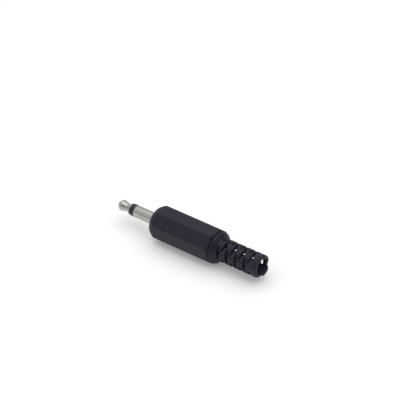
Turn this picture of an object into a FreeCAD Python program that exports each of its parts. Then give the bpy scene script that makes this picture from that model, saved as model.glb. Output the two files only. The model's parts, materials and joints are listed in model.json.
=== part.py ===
import FreeCAD, Part

import os

import Sketcher
from FreeCAD import Placement, Rotation, Vector

# Mono mini jack plug, millimetres. +X runs along the axis from the tip to the cable outlet, +Z is up.
# X = 0 is the front face of the flange, where the plug stops against a socket.

# Driving dimensions

SIZES = {
    # Finger that enters the socket
    "finger_length": 14.0,
    "sleeve_diameter": 3.5,
    "tip_head_length": 4.77,
    "nose_diameter": 1.3,
    "crest_diameter": 3.12,
    "crest_start": 1.0,
    "crest_length": 0.5,
    "waist_diameter": 2.26,
    "waist_start": 3.3,
    "waist_length": 0.2,
    "collar_diameter": 3.16,
    "collar_start": 4.25,
    "nose_round": 0.25,
    "crest_round": 0.8,
    "waist_round": 0.5,
    "rod_diameter": 1.6,
    "front_ring_width": 1.68,
    "front_ring_bevel": 0.12,
    "spigot_diameter": 2.4,
    "fit_clearance": 0.02,
    # Turned barrel behind the finger
    "flange_diameter": 6.6,
    "flange_thickness": 0.5,
    "flange_chamfer": 0.12,
    "neck_diameter": 6.0,
    "neck_length": 5.5,
    "neck_runout": 0.6,
    "neck_runout_depth": 0.4,
    "front_bore_depth": 3.0,
    "rear_bore_diameter": 2.6,
    "stake_diameter": 3.1,
    "stake_rim_diameter": 3.9,
    "stake_rim_thickness": 0.2,
    "bush_flange_diameter": 4.2,
    "bush_flange_thickness": 0.5,
    "rivet_diameter": 2.4,
    "rivet_height": 0.35,
    # Solder terminals stamped from sheet
    "sheet_thickness": 0.4,
    "bend_radius": 0.4,
    "tip_eye_diameter": 4.0,
    "tip_tag_width": 1.8,
    "tip_tag_reach": 6.9,
    "tip_hole_diameter": 1.0,
    "tip_hole_inset": 1.5,
    "ground_eye_diameter": 4.4,
    "ground_strip_width": 2.0,
    "ground_strip_reach": 9.0,
    "ground_hole_diameter": 1.2,
    "ground_hole_inset": 4.2,
    "crimp_radius": 1.3,
    "crimp_length": 3.0,
    "crimp_wing_height": 2.1,
    # Hood: octagonal grip
    "grip_across_flats": 9.7,
    "grip_corner_round": 0.25,
    "grip_front_diameter": 8.5,
    "grip_front_chamfer": 1.7,
    "grip_length": 21.6,
    "grip_rear_chamfer": 0.6,
    "groove_diameter": 8.55,
    "groove_width": 0.2,
    "bead_diameter": 8.95,
    "bead_width": 0.45,
    "shoulder_length": 1.05,
    "shoulder_round": 0.95,
    "hood_clearance": 0.05,
    "hood_entry_chamfer": 0.25,
    "cavity_depth": 21.0,
    "cavity_taper": 1.2,
    # Hood: slotted strain relief
    "relief_diameter": 6.76,
    "relief_length": 14.2,
    "relief_root_round": 0.3,
    "cable_bore_diameter": 4.84,
    "mouth_round": 0.2,
    "slot_width": 1.1,
    "slot_floor": 2.36,
    "slot_pitch": 3.11,
    "slot_start": 0.8,
    "slots_per_row": 4,
    "rows_per_station": 3,
    "row_angle": 110.0,
    "mouth_notch_depth": 0.85,
}

doc = FreeCAD.newDocument("mini_jack_plug")
sheet = doc.addObject("Spreadsheet::Sheet", "sizes")
for row, (alias, value) in enumerate(SIZES.items(), start=1):
    sheet.set(f"A{row}", alias)
    sheet.set(f"B{row}", str(value))
    sheet.setAlias(f"B{row}", alias)
doc.recompute()


def value_of(expression):
    """Number that an expression over the sheet gives now."""
    result = sheet.evalExpression(expression)
    return float(getattr(result, "Value", result))


# Shared helpers

def new_body(label):
    body = doc.addObject("PartDesign::Body", label)
    body.Label = label
    return body


def origin_plane(body, role):
    return next(item for item in body.Origin.OriginFeatures if item.Role == role)


def new_sketch(body, name, role, along="0", turn="0"):
    """Sketch on an origin plane, moved along the plane's normal and turned about it."""
    sketch = body.newObject("Sketcher::SketchObject", name)
    sketch.AttachmentSupport = [(origin_plane(body, role), "")]
    sketch.MapMode = "FlatFace"
    sketch.AttachmentOffset = Placement(Vector(0, 0, value_of(along)), Rotation(Vector(0, 0, 1), value_of(turn)))
    sketch.setExpression("AttachmentOffset.Base.z", along)
    sketch.setExpression("AttachmentOffset.Rotation.Angle", turn)
    return sketch


def pin_distance(sketch, kind, geometry, position, expression):
    """Ties one coordinate of a point of a sketch to the origin by an expression."""
    datum = sketch.addConstraint(Sketcher.Constraint(kind, -1, 1, geometry, position, value_of(expression)))
    sketch.setExpression(f"Constraints[{datum}]", expression)


def pin_point(sketch, geometry, position, across, up):
    """Ties a point of a sketch to the origin by two expressions."""
    for kind, expression, axis in (("DistanceX", across, -2), ("DistanceY", up, -1)):
        if expression == "0":
            sketch.addConstraint(Sketcher.Constraint("PointOnObject", geometry, position, axis))
        else:
            pin_distance(sketch, kind, geometry, position, expression)


def draw_polygon(sketch, corners):
    """Closed run of straight lines through corners given as pairs of expressions."""
    points = [Vector(value_of(across), value_of(up), 0) for across, up in corners]
    first = sketch.GeometryCount
    count = len(points)
    for index, start in enumerate(points):
        sketch.addGeometry(Part.LineSegment(start, points[(index + 1) % count]), False)
    for index in range(count):
        following = first + (index + 1) % count
        sketch.addConstraint(Sketcher.Constraint("Coincident", first + index, 2, following, 1))
    for index, (across, up) in enumerate(corners):
        pin_point(sketch, first + index, 1, across, up)


def draw_circle(sketch, across, up, radius):
    circle = Part.Circle(Vector(value_of(across), value_of(up), 0), Vector(0, 0, 1), value_of(radius))
    index = sketch.addGeometry(circle, False)
    pin_point(sketch, index, 3, across, up)
    datum = sketch.addConstraint(Sketcher.Constraint("Radius", index, value_of(radius)))
    sketch.setExpression(f"Constraints[{datum}]", radius)


def turned(body, kind, name, corners):
    """Revolution or Groove about the X axis of a half profile given as (x, radius) expressions."""
    sketch = new_sketch(body, f"{name}_profile", "XZ_Plane")
    draw_polygon(sketch, corners)
    feature = body.newObject(f"PartDesign::{kind}", name)
    feature.Profile = sketch
    feature.ReferenceAxis = (sketch, ["H_Axis"])
    feature.Angle = 360.0
    body.Tip = feature
    doc.recompute()
    return feature


def pushed(body, kind, name, sketch, length, midplane=False, forward=True):
    """Pad or Pocket of a sketch, forward meaning along the sketch's normal."""
    before = body.Tip.Shape.Volume if body.Tip else 0.0
    feature = body.newObject(f"PartDesign::{kind}", name)
    feature.Profile = sketch
    feature.Length = value_of(length)
    feature.setExpression("Length", length)
    feature.Midplane = midplane
    feature.Reversed = forward if kind == "Pocket" else not forward
    body.Tip = feature
    doc.recompute()
    change = feature.Shape.Volume - before
    if kind == "Pocket" and change > -1e-6 or kind == "Pad" and change < 1e-6:
        raise RuntimeError(f"{name} changes no volume")
    return feature


def rim_edges(shape, x, radius):
    """Names of the circular edges about the X axis at one place and radius."""
    names = []
    for index, edge in enumerate(shape.Edges, start=1):
        if edge.Curve.TypeId != "Part::GeomCircle":
            continue
        centre = edge.Curve.Center
        same_place = abs(centre.x - x) < 1e-4 and abs(edge.Curve.Radius - radius) < 1e-4
        if same_place and abs(centre.y) < 1e-4 and abs(centre.z) < 1e-4:
            names.append(f"Edge{index}")
    return names


def dressed(body, kind, name, size, edges):
    """Fillet or Chamfer of the body's tip on the named edges."""
    if not edges:
        raise RuntimeError(f"{name} finds no edge")
    base = body.Tip
    feature = body.newObject(f"PartDesign::{kind}", name)
    feature.Base = (base, edges)
    field = "Radius" if kind == "Fillet" else "Size"
    setattr(feature, field, value_of(size))
    feature.setExpression(field, size)
    body.Tip = feature
    doc.recompute()
    return feature


def round_rims(body, kind, name, size, places):
    edges = []
    for x, radius in places:
        edges += rim_edges(body.Tip.Shape, value_of(x), value_of(radius))
    return dressed(body, kind, name, size, edges)


# Places along the axis, each worked out once from the sheet

TIP_END = "-sizes.finger_length"
HEAD_BACK = f"({TIP_END} + sizes.tip_head_length)"
RING_BACK = f"({HEAD_BACK} + sizes.front_ring_width)"
NECK_FRONT = "sizes.flange_thickness"
NECK_BACK = f"({NECK_FRONT} + sizes.neck_length)"
STAKE_FRONT = f"({NECK_BACK} + sizes.sheet_thickness)"
STAKE_BACK = f"({STAKE_FRONT} + sizes.stake_rim_thickness)"
BUSH_BACK = f"({STAKE_BACK} + sizes.bush_flange_thickness)"
EYE_BACK = f"({BUSH_BACK} + sizes.sheet_thickness)"
ROD_END = f"({EYE_BACK} + sizes.rivet_height)"
GRIP_BACK = f"({NECK_FRONT} + sizes.grip_length)"
BEAD_FRONT = f"({GRIP_BACK} + sizes.groove_width)"
BEAD_BACK = f"({BEAD_FRONT} + sizes.bead_width)"
RELIEF_ROOT = f"({BEAD_BACK} + sizes.shoulder_length)"
MOUTH = f"({RELIEF_ROOT} + sizes.relief_length)"

# Radii shared by pieces that fit one another

ROD = "sizes.rod_diameter / 2"
ROD_HOLE = f"({ROD} + sizes.fit_clearance)"
SPIGOT = "sizes.spigot_diameter / 2"
SPIGOT_HOLE = f"({SPIGOT} + sizes.fit_clearance)"
REAR_BORE = "sizes.rear_bore_diameter / 2"
BUSH = f"({REAR_BORE} - sizes.fit_clearance)"
STAKE = "sizes.stake_diameter / 2"
NECK = "sizes.neck_diameter / 2"
HOOD_BORE = f"({NECK} + sizes.hood_clearance)"
RELIEF = "sizes.relief_diameter / 2"
CABLE_BORE = "sizes.cable_bore_diameter / 2"
FLAT = "sizes.grip_across_flats / 2"
HALF_SIDE = f"({FLAT} * tan(22.5 deg))"
CORNER = f"({FLAT} / cos(22.5 deg))"


# Tip contact: turned head, rod through the plug, end peened over the solder tag

def build_tip_contact():
    crest_front = f"{TIP_END} + sizes.crest_start"
    crest_back = f"{crest_front} + sizes.crest_length"
    waist_front = f"{TIP_END} + sizes.waist_start"
    waist_back = f"{waist_front} + sizes.waist_length"
    body = new_body("tip_contact")
    turned(body, "Revolution", "turned_pin", [
        (TIP_END, "0"),
        (TIP_END, "sizes.nose_diameter / 2"),
        (crest_front, "sizes.crest_diameter / 2"),
        (crest_back, "sizes.crest_diameter / 2"),
        (waist_front, "sizes.waist_diameter / 2"),
        (waist_back, "sizes.waist_diameter / 2"),
        (f"{TIP_END} + sizes.collar_start", "sizes.collar_diameter / 2"),
        (HEAD_BACK, "sizes.collar_diameter / 2"),
        (HEAD_BACK, ROD),
        (EYE_BACK, ROD),
        (EYE_BACK, "sizes.rivet_diameter / 2"),
        (ROD_END, "sizes.rivet_diameter / 2"),
        (ROD_END, "0"),
    ])
    round_rims(body, "Fillet", "nose", "sizes.nose_round", [(TIP_END, "sizes.nose_diameter / 2")])
    crest = [(crest_front, "sizes.crest_diameter / 2"), (crest_back, "sizes.crest_diameter / 2")]
    round_rims(body, "Fillet", "crest", "sizes.crest_round", crest)
    waist = [(waist_front, "sizes.waist_diameter / 2"), (waist_back, "sizes.waist_diameter / 2")]
    round_rims(body, "Fillet", "waist", "sizes.waist_round", waist)
    round_rims(body, "Chamfer", "peened_end", "sizes.rivet_height / 2", [(ROD_END, "sizes.rivet_diameter / 2")])
    return body


# Front insulator: black ring between tip and sleeve, with the tube that lines the sleeve

def build_tip_insulator():
    body = new_body("tip_insulator")
    turned(body, "Revolution", "moulded_tube", [
        (HEAD_BACK, ROD_HOLE),
        (HEAD_BACK, "sizes.sleeve_diameter / 2"),
        (RING_BACK, "sizes.sleeve_diameter / 2"),
        (RING_BACK, SPIGOT),
        ("sizes.front_bore_depth", SPIGOT),
        ("sizes.front_bore_depth", ROD_HOLE),
    ])
    front = [(HEAD_BACK, "sizes.sleeve_diameter / 2")]
    round_rims(body, "Chamfer", "front_bevel", "sizes.front_ring_bevel", front)
    return body


# Sleeve and barrel: the earth contact, its flange, the threaded neck and the staked rear spigot

def build_sleeve_barrel():
    runout = f"({NECK} - sizes.neck_runout_depth)"
    runout_back = f"({NECK_FRONT} + sizes.neck_runout)"
    body = new_body("sleeve_barrel")
    turned(body, "Revolution", "turned_barrel", [
        (RING_BACK, SPIGOT_HOLE),
        (RING_BACK, "sizes.sleeve_diameter / 2"),
        ("0", "sizes.sleeve_diameter / 2"),
        ("0", "sizes.flange_diameter / 2"),
        (NECK_FRONT, "sizes.flange_diameter / 2"),
        (NECK_FRONT, runout),
        (runout_back, runout),
        (f"{runout_back} + sizes.neck_runout_depth", NECK),
        (NECK_BACK, NECK),
        (NECK_BACK, STAKE),
        (STAKE_FRONT, STAKE),
        (STAKE_FRONT, "sizes.stake_rim_diameter / 2"),
        (STAKE_BACK, "sizes.stake_rim_diameter / 2"),
        (STAKE_BACK, REAR_BORE),
        ("sizes.front_bore_depth", REAR_BORE),
        ("sizes.front_bore_depth", SPIGOT_HOLE),
    ])
    flange = [("0", "sizes.flange_diameter / 2"), (NECK_FRONT, "sizes.flange_diameter / 2")]
    round_rims(body, "Chamfer", "flange_edges", "sizes.flange_chamfer", flange)
    round_rims(body, "Chamfer", "neck_lead_in", "sizes.neck_runout_depth / 2", [(NECK_BACK, NECK)])
    return body


# Rear insulator: flanged bush that keeps the rod clear of the barrel

def build_rear_insulator():
    body = new_body("rear_insulator")
    turned(body, "Revolution", "moulded_bush", [
        ("sizes.front_bore_depth", ROD_HOLE),
        ("sizes.front_bore_depth", BUSH),
        (STAKE_BACK, BUSH),
        (STAKE_BACK, "sizes.bush_flange_diameter / 2"),
        (BUSH_BACK, "sizes.bush_flange_diameter / 2"),
        (BUSH_BACK, ROD_HOLE),
    ])
    return body


def bent_tag(body, name, eye_front, reach_end, height, inner, width, below):
    """Strip that rises from a round eye and bends back along the axis, above or below it."""
    sign = "-" if below else ""
    outer_face = f"{sign}({height})"
    inner_face = f"{sign}({height} - sizes.sheet_thickness)"
    root = f"{sign}({inner})"
    eye_back = f"{eye_front} + sizes.sheet_thickness"
    sketch = new_sketch(body, f"{name}_side", "XZ_Plane")
    draw_polygon(sketch, [
        (eye_front, root),
        (eye_front, outer_face),
        (reach_end, outer_face),
        (reach_end, inner_face),
        (eye_back, inner_face),
        (eye_back, root),
    ])
    pushed(body, "Pad", name, sketch, width, midplane=True)
    corner_x = value_of(eye_front)
    corner_z = value_of(outer_face)
    edges = [
        f"Edge{index}" for index, edge in enumerate(body.Tip.Shape.Edges, start=1)
        if edge.Length > 0.9 * value_of(width)
        and all(abs(v.X - corner_x) < 1e-4 and abs(v.Z - corner_z) < 1e-4 for v in edge.Vertexes)
    ]
    dressed(body, "Fillet", f"{name}_bend", "sizes.bend_radius", edges)


# Tip solder tag: eye on the rod, tongue above the axis with a hole for the centre wire

def build_tip_terminal():
    reach_end = f"({BUSH_BACK} + sizes.tip_tag_reach)"
    height = "(sizes.tip_eye_diameter / 2 + sizes.bend_radius)"
    body = new_body("tip_terminal")
    eye = new_sketch(body, "eye_outline", "YZ_Plane", along=BUSH_BACK)
    draw_circle(eye, "0", "0", "sizes.tip_eye_diameter / 2")
    draw_circle(eye, "0", "0", ROD_HOLE)
    pushed(body, "Pad", "eye", eye, "sizes.sheet_thickness")
    inner = f"{ROD_HOLE} + sizes.fit_clearance"
    bent_tag(body, "tongue", BUSH_BACK, reach_end, height, inner, "sizes.tip_tag_width", False)
    hole = new_sketch(body, "wire_hole_outline", "XY_Plane")
    draw_circle(hole, f"{reach_end} - sizes.tip_hole_inset", "0", "sizes.tip_hole_diameter / 2")
    pushed(body, "Pocket", "wire_hole", hole, f"{height} + sizes.sheet_thickness")
    corners = upright_edges(body.Tip.Shape, value_of(reach_end), value_of("sizes.tip_tag_width") / 2)
    dressed(body, "Fillet", "tongue_end", "sizes.tip_tag_width * 0.4", corners)
    return body


def upright_edges(shape, x, half_width):
    """Names of the short edges along Z at one end of a strip."""
    return [
        f"Edge{index}" for index, edge in enumerate(shape.Edges, start=1)
        if all(abs(v.X - x) < 1e-4 and abs(abs(v.Y) - half_width) < 1e-4 for v in edge.Vertexes)
        and edge.BoundBox.ZLength > 1e-3 and edge.BoundBox.YLength < 1e-3
    ]


# Earth terminal: eye staked behind the neck, strip below the axis, hole and two crimp wings

def build_ground_terminal():
    strip_end = f"({NECK_BACK} + sizes.ground_strip_reach)"
    crimp_end = f"({strip_end} + sizes.crimp_length)"
    height = "(sizes.ground_eye_diameter / 2 + sizes.bend_radius)"
    body = new_body("ground_terminal")
    eye = new_sketch(body, "eye_outline", "YZ_Plane", along=NECK_BACK)
    draw_circle(eye, "0", "0", "sizes.ground_eye_diameter / 2")
    draw_circle(eye, "0", "0", f"{STAKE} + sizes.fit_clearance")
    pushed(body, "Pad", "eye", eye, "sizes.sheet_thickness")
    inner = f"{STAKE} + 2 * sizes.fit_clearance"
    bent_tag(body, "strip", NECK_BACK, crimp_end, height, inner, "sizes.ground_strip_width", True)
    hole = new_sketch(body, "braid_hole_outline", "XY_Plane")
    draw_circle(hole, f"{strip_end} - sizes.ground_hole_inset", "0", "sizes.ground_hole_diameter / 2")
    depth = f"{height} + sizes.sheet_thickness"
    pushed(body, "Pocket", "braid_hole", hole, depth, forward=False)
    outer = "(sizes.crimp_radius + sizes.sheet_thickness)"
    centre = f"-({height} - {outer})"
    top = f"({centre} + sizes.crimp_wing_height)"
    cradle = new_sketch(body, "cradle_outline", "YZ_Plane", along=strip_end)
    draw_cradle(cradle, centre, top, "sizes.crimp_radius", outer)
    pushed(body, "Pad", "crimp_wings", cradle, "sizes.crimp_length")
    return body


def draw_cradle(sketch, centre, top, inner, outer):
    """U section of two upright wings joined by a half round below."""
    low = value_of(centre)
    high = value_of(top)
    lines = {}
    for side, sign in (("right", ""), ("left", "-")):
        for face, radius in (("in", inner), ("out", outer)):
            across = f"{sign}{radius}"
            start = Vector(value_of(across), low, 0)
            end = Vector(value_of(across), high, 0)
            lines[side, face] = sketch.addGeometry(Part.LineSegment(start, end), False)
            pin_point(sketch, lines[side, face], 1, across, centre)
            pin_point(sketch, lines[side, face], 2, across, top)
    for side in ("right", "left"):
        start = Vector(sketch.Geometry[lines[side, "in"]].EndPoint)
        end = Vector(sketch.Geometry[lines[side, "out"]].EndPoint)
        cap = sketch.addGeometry(Part.LineSegment(start, end), False)
        sketch.addConstraint(Sketcher.Constraint("Coincident", cap, 1, lines[side, "in"], 2))
        sketch.addConstraint(Sketcher.Constraint("Coincident", cap, 2, lines[side, "out"], 2))
    for face, radius in (("in", inner), ("out", outer)):
        size = value_of(radius)
        half_round = Part.Arc(Vector(-size, low, 0), Vector(0, low - size, 0), Vector(size, low, 0))
        arc = sketch.addGeometry(half_round, False)
        sketch.addConstraint(Sketcher.Constraint("Coincident", arc, 1, lines["left", face], 1))
        sketch.addConstraint(Sketcher.Constraint("Coincident", arc, 2, lines["right", face], 1))
        pin_distance(sketch, "DistanceY", arc, 3, centre)


# Hood: one moulding, octagonal grip and slotted strain relief

def build_hood():
    body = new_body("hood")
    front = "sizes.grip_front_diameter / 2"
    bead = "sizes.bead_diameter / 2"
    groove = "sizes.groove_diameter / 2"
    outside = f"({CORNER} + sizes.grip_rear_chamfer)"
    turned(body, "Revolution", "outside", [
        (NECK_FRONT, "0"),
        (NECK_FRONT, front),
        (f"{NECK_FRONT} + sizes.grip_front_chamfer", CORNER),
        (f"{GRIP_BACK} - sizes.grip_rear_chamfer", CORNER),
        (GRIP_BACK, groove),
        (BEAD_FRONT, groove),
        (BEAD_FRONT, bead),
        (BEAD_BACK, bead),
        (RELIEF_ROOT, RELIEF),
        (MOUTH, RELIEF),
        (MOUTH, "0"),
    ])
    cut_octagon(body, outside)
    round_rims(body, "Fillet", "shoulder", "sizes.shoulder_round", [(BEAD_BACK, bead)])
    round_rims(body, "Fillet", "relief_root", "sizes.relief_root_round", [(RELIEF_ROOT, RELIEF)])
    cavity_back = f"({NECK_FRONT} + sizes.cavity_depth)"
    turned(body, "Groove", "bore", [
        (NECK_FRONT, "0"),
        (NECK_FRONT, f"{HOOD_BORE} + sizes.hood_entry_chamfer"),
        (f"{NECK_FRONT} + sizes.hood_entry_chamfer", HOOD_BORE),
        (cavity_back, HOOD_BORE),
        (f"{cavity_back} + sizes.cavity_taper", CABLE_BORE),
        (MOUTH, CABLE_BORE),
        (MOUTH, "0"),
    ])
    mouth = [(MOUTH, RELIEF), (MOUTH, CABLE_BORE)]
    round_rims(body, "Fillet", "mouth_edges", "sizes.mouth_round", mouth)
    first = f"({RELIEF_ROOT} + sizes.slot_start)"
    half_turn = "180 deg / sizes.rows_per_station"
    cut_slot_rows(body, "near_slots", first, f"sizes.row_angle * 1 deg + {half_turn} - 90 deg")
    cut_slot_rows(body, "far_slots", f"{first} + sizes.slot_pitch / 2", "sizes.row_angle * 1 deg - 90 deg")
    cut_mouth_notches(body)
    return body


def cut_octagon(body, outside):
    """Takes the round blank down to eight flats along the grip."""
    sketch = new_sketch(body, "flats_outline", "YZ_Plane", along=NECK_FRONT)
    corners = []
    for across, up in ((FLAT, HALF_SIDE), (HALF_SIDE, FLAT)):
        corners.append((across, up))
    corners += [(f"-{HALF_SIDE}", FLAT), (f"-{FLAT}", HALF_SIDE)]
    corners += [(f"-{FLAT}", f"-{HALF_SIDE}"), (f"-{HALF_SIDE}", f"-{FLAT}")]
    corners += [(HALF_SIDE, f"-{FLAT}"), (FLAT, f"-{HALF_SIDE}")]
    draw_polygon(sketch, corners)
    draw_circle(sketch, "0", "0", outside)
    pushed(body, "Pocket", "flats", sketch, "sizes.grip_length")
    radius = value_of(CORNER)
    edges = []
    for index, edge in enumerate(body.Tip.Shape.Edges, start=1):
        ends = edge.Vertexes
        along_grip = edge.Length > 0.6 * value_of("sizes.grip_length")
        at_corner = all(abs((v.Y ** 2 + v.Z ** 2) ** 0.5 - radius) < 1e-3 for v in ends)
        if along_grip and at_corner:
            edges.append(f"Edge{index}")
    dressed(body, "Fillet", "corner_rounding", "sizes.grip_corner_round", edges)


def cut_slot_rows(body, name, centre, turn):
    """Straight cuts at one station, repeated round the relief and along it."""
    sketch = new_sketch(body, f"{name}_outline", "YZ_Plane", along=f"{centre} - sizes.slot_width / 2", turn=turn)
    beyond = f"({RELIEF} * 1.3)"
    draw_polygon(sketch, [
        (f"-{beyond}", "sizes.slot_floor"),
        (beyond, "sizes.slot_floor"),
        (beyond, beyond),
        (f"-{beyond}", beyond),
    ])
    cut = pushed(body, "Pocket", name, sketch, "sizes.slot_width")
    repeat = body.newObject("PartDesign::MultiTransform", f"{name}_rows")
    around = body.newObject("PartDesign::PolarPattern", f"{name}_around")
    around.Axis = (sketch, ["N_Axis"])
    around.Angle = 360.0
    around.Occurrences = int(value_of("sizes.rows_per_station"))
    around.setExpression("Occurrences", "sizes.rows_per_station")
    along = body.newObject("PartDesign::LinearPattern", f"{name}_along")
    along.Direction = (sketch, ["N_Axis"])
    span = "sizes.slot_pitch * (sizes.slots_per_row - 1)"
    along.Length = value_of(span)
    along.setExpression("Length", span)
    along.Occurrences = int(value_of("sizes.slots_per_row"))
    along.setExpression("Occurrences", "sizes.slots_per_row")
    repeat.Originals = [cut]
    repeat.Transformations = [around, along]
    body.Tip = repeat
    doc.recompute()
    if repeat.Shape.Volume > cut.Shape.Volume - 1e-6:
        raise RuntimeError(f"{name} does not repeat")


def cut_mouth_notches(body):
    """Open notches in the rim of the mouth, in line with two of the slot rows."""
    for number in (1, 2):
        turn = f"(sizes.row_angle - 90 + {number} * 360 / sizes.rows_per_station) * 1 deg"
        along = f"{MOUTH} - sizes.mouth_notch_depth"
        sketch = new_sketch(body, f"notch_outline_{number}", "YZ_Plane", along=along, turn=turn)
        beyond = f"({RELIEF} * 1.3)"
        draw_polygon(sketch, [
            (f"-{beyond}", "sizes.slot_floor"),
            (beyond, "sizes.slot_floor"),
            (beyond, beyond),
            (f"-{beyond}", beyond),
        ])
        pushed(body, "Pocket", f"mouth_notch_{number}", sketch, "sizes.mouth_notch_depth")


# Build, check and export

bodies = [
    build_tip_contact(),
    build_tip_insulator(),
    build_sleeve_barrel(),
    build_rear_insulator(),
    build_tip_terminal(),
    build_ground_terminal(),
    build_hood(),
]
doc.recompute()

for item in doc.Objects:
    if "Invalid" in item.State or "Error" in item.State:
        raise RuntimeError(f"{item.Label}: {item.State}")

os.makedirs("parts", exist_ok=True)
for body in bodies:
    shape = body.Shape
    if not shape.isValid() or len(shape.Solids) != 1:
        raise RuntimeError(f"{body.Label} is not one valid solid")
    shape.exportStep(f"parts/{body.Label}.step")
    print(body.Label, round(shape.Volume, 3), [round(v, 3) for v in (
        shape.BoundBox.XMin, shape.BoundBox.XMax, shape.BoundBox.ZMin, shape.BoundBox.ZMax)])
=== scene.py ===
"""Looks of the mono mini jack plug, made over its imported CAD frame.

Sizes are in millimetres and are turned into metres when a piece is finished. +X runs along the axis from
the tip to the cable outlet, +Z is up, and X = 0 is the front face of the flange.
"""

import json
import logging
import math
from dataclasses import dataclass
from enum import Enum

import bmesh
import bpy
from mathutils import Matrix, Vector

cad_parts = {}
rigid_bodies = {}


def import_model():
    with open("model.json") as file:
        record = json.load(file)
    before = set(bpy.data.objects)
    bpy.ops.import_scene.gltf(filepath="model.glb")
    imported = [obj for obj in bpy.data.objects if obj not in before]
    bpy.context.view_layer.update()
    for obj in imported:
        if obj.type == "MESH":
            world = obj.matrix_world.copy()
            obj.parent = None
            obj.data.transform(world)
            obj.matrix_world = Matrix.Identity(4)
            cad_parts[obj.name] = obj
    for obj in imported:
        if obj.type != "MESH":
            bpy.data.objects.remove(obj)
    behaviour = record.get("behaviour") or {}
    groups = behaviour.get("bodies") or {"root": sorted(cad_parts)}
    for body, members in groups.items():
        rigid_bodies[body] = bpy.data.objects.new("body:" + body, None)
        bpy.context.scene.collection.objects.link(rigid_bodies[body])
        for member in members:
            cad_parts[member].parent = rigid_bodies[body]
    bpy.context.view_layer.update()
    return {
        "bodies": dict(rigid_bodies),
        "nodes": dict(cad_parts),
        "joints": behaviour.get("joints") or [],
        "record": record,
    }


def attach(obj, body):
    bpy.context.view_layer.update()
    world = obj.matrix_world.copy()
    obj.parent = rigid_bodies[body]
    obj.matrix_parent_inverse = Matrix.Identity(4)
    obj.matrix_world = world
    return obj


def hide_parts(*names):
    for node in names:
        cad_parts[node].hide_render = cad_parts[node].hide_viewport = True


LOG = logging.getLogger("mini_jack_plug")

# Metres in a millimetre, and the distances in millimetres that count as nothing, as one point and as contact
MM = 0.001
HAIR = 1e-6
WELD = 1e-4
TOUCH = 1e-3

Point = tuple[float, float]
Colour = tuple[float, float, float, float]
Vert = bmesh.types.BMVert
Socket = bpy.types.NodeSocket
Value = Socket | float | Colour


class Body(Enum):
    """The two bodies that the draw-off slide parts."""

    PLUG = "plug"
    HOOD = "hood"


class Slot(Enum):
    """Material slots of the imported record."""

    NICKEL = "nickel_plate"
    INSULATOR = "black_insulator"
    TIN = "tinned_sheet"
    HOOD = "hood_plastic"


class Pattern(Enum):
    """Procedural patterns that a finish draws on."""

    NOISE = "ShaderNodeTexNoise"
    VORONOI = "ShaderNodeTexVoronoi"


# Turned forms


@dataclass(frozen=True)
class Corner:
    """One corner of a turned profile.

    Attributes:
        x: Place along the axis.
        r: Radius there.
        rounding: Radius of the arc that replaces the corner, or 0 for a sharp one.
    """

    x: float
    r: float
    rounding: float = 0.0


def clamped(share: float) -> float:
    """The share itself, held between 0 and 1."""
    return min(1.0, max(0.0, share))


def stepped(start: Point, end: Point, parts: int) -> list[Point]:
    """Divides a straight line evenly.

    Args:
        start: Where it starts.
        end: Where it ends, which isn't among the points.
        parts: How many parts. With fewer than two the line stays whole.

    Returns:
        The start and the points between the parts.
    """
    (x, r), (x_end, r_end) = start, end
    points = [start]
    for share in (part / parts for part in range(1, parts)):
        points.append((x + (x_end - x) * share, r + (r_end - r) * share))
    return points


def arc_points(before: Corner, corner: Corner, after: Corner) -> list[Point]:
    """Replaces a corner by an arc that touches both of its sides.

    Args:
        before: The corner before it.
        corner: The corner that is rounded.
        after: The corner after it.

    Returns:
        The points of the arc, or the corner itself where it stays sharp.
    """
    degrees_per_step, nearly_straight = 8.0, 0.02
    here = Vector((corner.x, corner.r))
    back = (Vector((before.x, before.r)) - here).normalized()
    ahead = (Vector((after.x, after.r)) - here).normalized()
    turn = math.pi - back.angle(ahead)
    if corner.rounding <= 0.0 or turn < nearly_straight:
        return [(corner.x, corner.r)]
    reach = corner.rounding * math.tan(turn / 2)
    centre = here + (back + ahead).normalized() * (corner.rounding / math.cos(turn / 2))
    first = here + back * reach - centre
    last = here + ahead * reach - centre
    count = max(2, math.ceil(math.degrees(turn) / degrees_per_step))
    points = []
    for share in (index / count for index in range(count + 1)):
        spoke = (first * math.sin((1 - share) * turn) + last * math.sin(share * turn)) / math.sin(turn)
        points.append(tuple(centre + spoke))
    return points


def rounded_profile(corners: list[Corner], closed: bool, longest: float) -> list[Point]:
    """Turns corners into the fine line of points that is swept round the axis.

    Args:
        corners: The corners in order.
        closed: Whether the last corner joins the first.
        longest: Longest straight step that is kept in one piece.

    Returns:
        The points of the profile.
    """
    line: list[Point] = []
    count = len(corners)
    for index, corner in enumerate(corners):
        if closed or 0 < index < count - 1:
            line += arc_points(corners[index - 1], corner, corners[(index + 1) % count])
        else:
            line.append((corner.x, corner.r))
    fine: list[Point] = []
    for here, after in zip(line, line[1:] + (line[:1] if closed else [])):
        fine += stepped(here, after, math.ceil(math.dist(here, after) / longest))
    return fine if closed else [*fine, line[-1]]


def meshed(name: str, shape: bmesh.types.BMesh, weld: float = 0.0) -> bpy.types.Mesh:
    """Makes a drawn form into a mesh with its faces turned outwards.

    Args:
        name: Name of the mesh.
        shape: The drawn form, which is freed.
        weld: Distance under which two of its points are made one, or 0 to leave them.

    Returns:
        The mesh, in the form's own units.
    """
    if weld > 0.0:
        bmesh.ops.remove_doubles(shape, verts=shape.verts, dist=weld)
    bmesh.ops.recalc_face_normals(shape, faces=shape.faces)
    mesh = bpy.data.meshes.new(name)
    shape.to_mesh(mesh)
    shape.free()
    return mesh


def placed(name: str, data: bpy.types.ID) -> bpy.types.Object:
    """Puts a mesh, a lamp or a camera into the scene.

    Args:
        name: Name of the object.
        data: What it holds.

    Returns:
        The object.
    """
    made = bpy.data.objects.new(name, data)
    bpy.context.scene.collection.objects.link(made)
    return made


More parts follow.
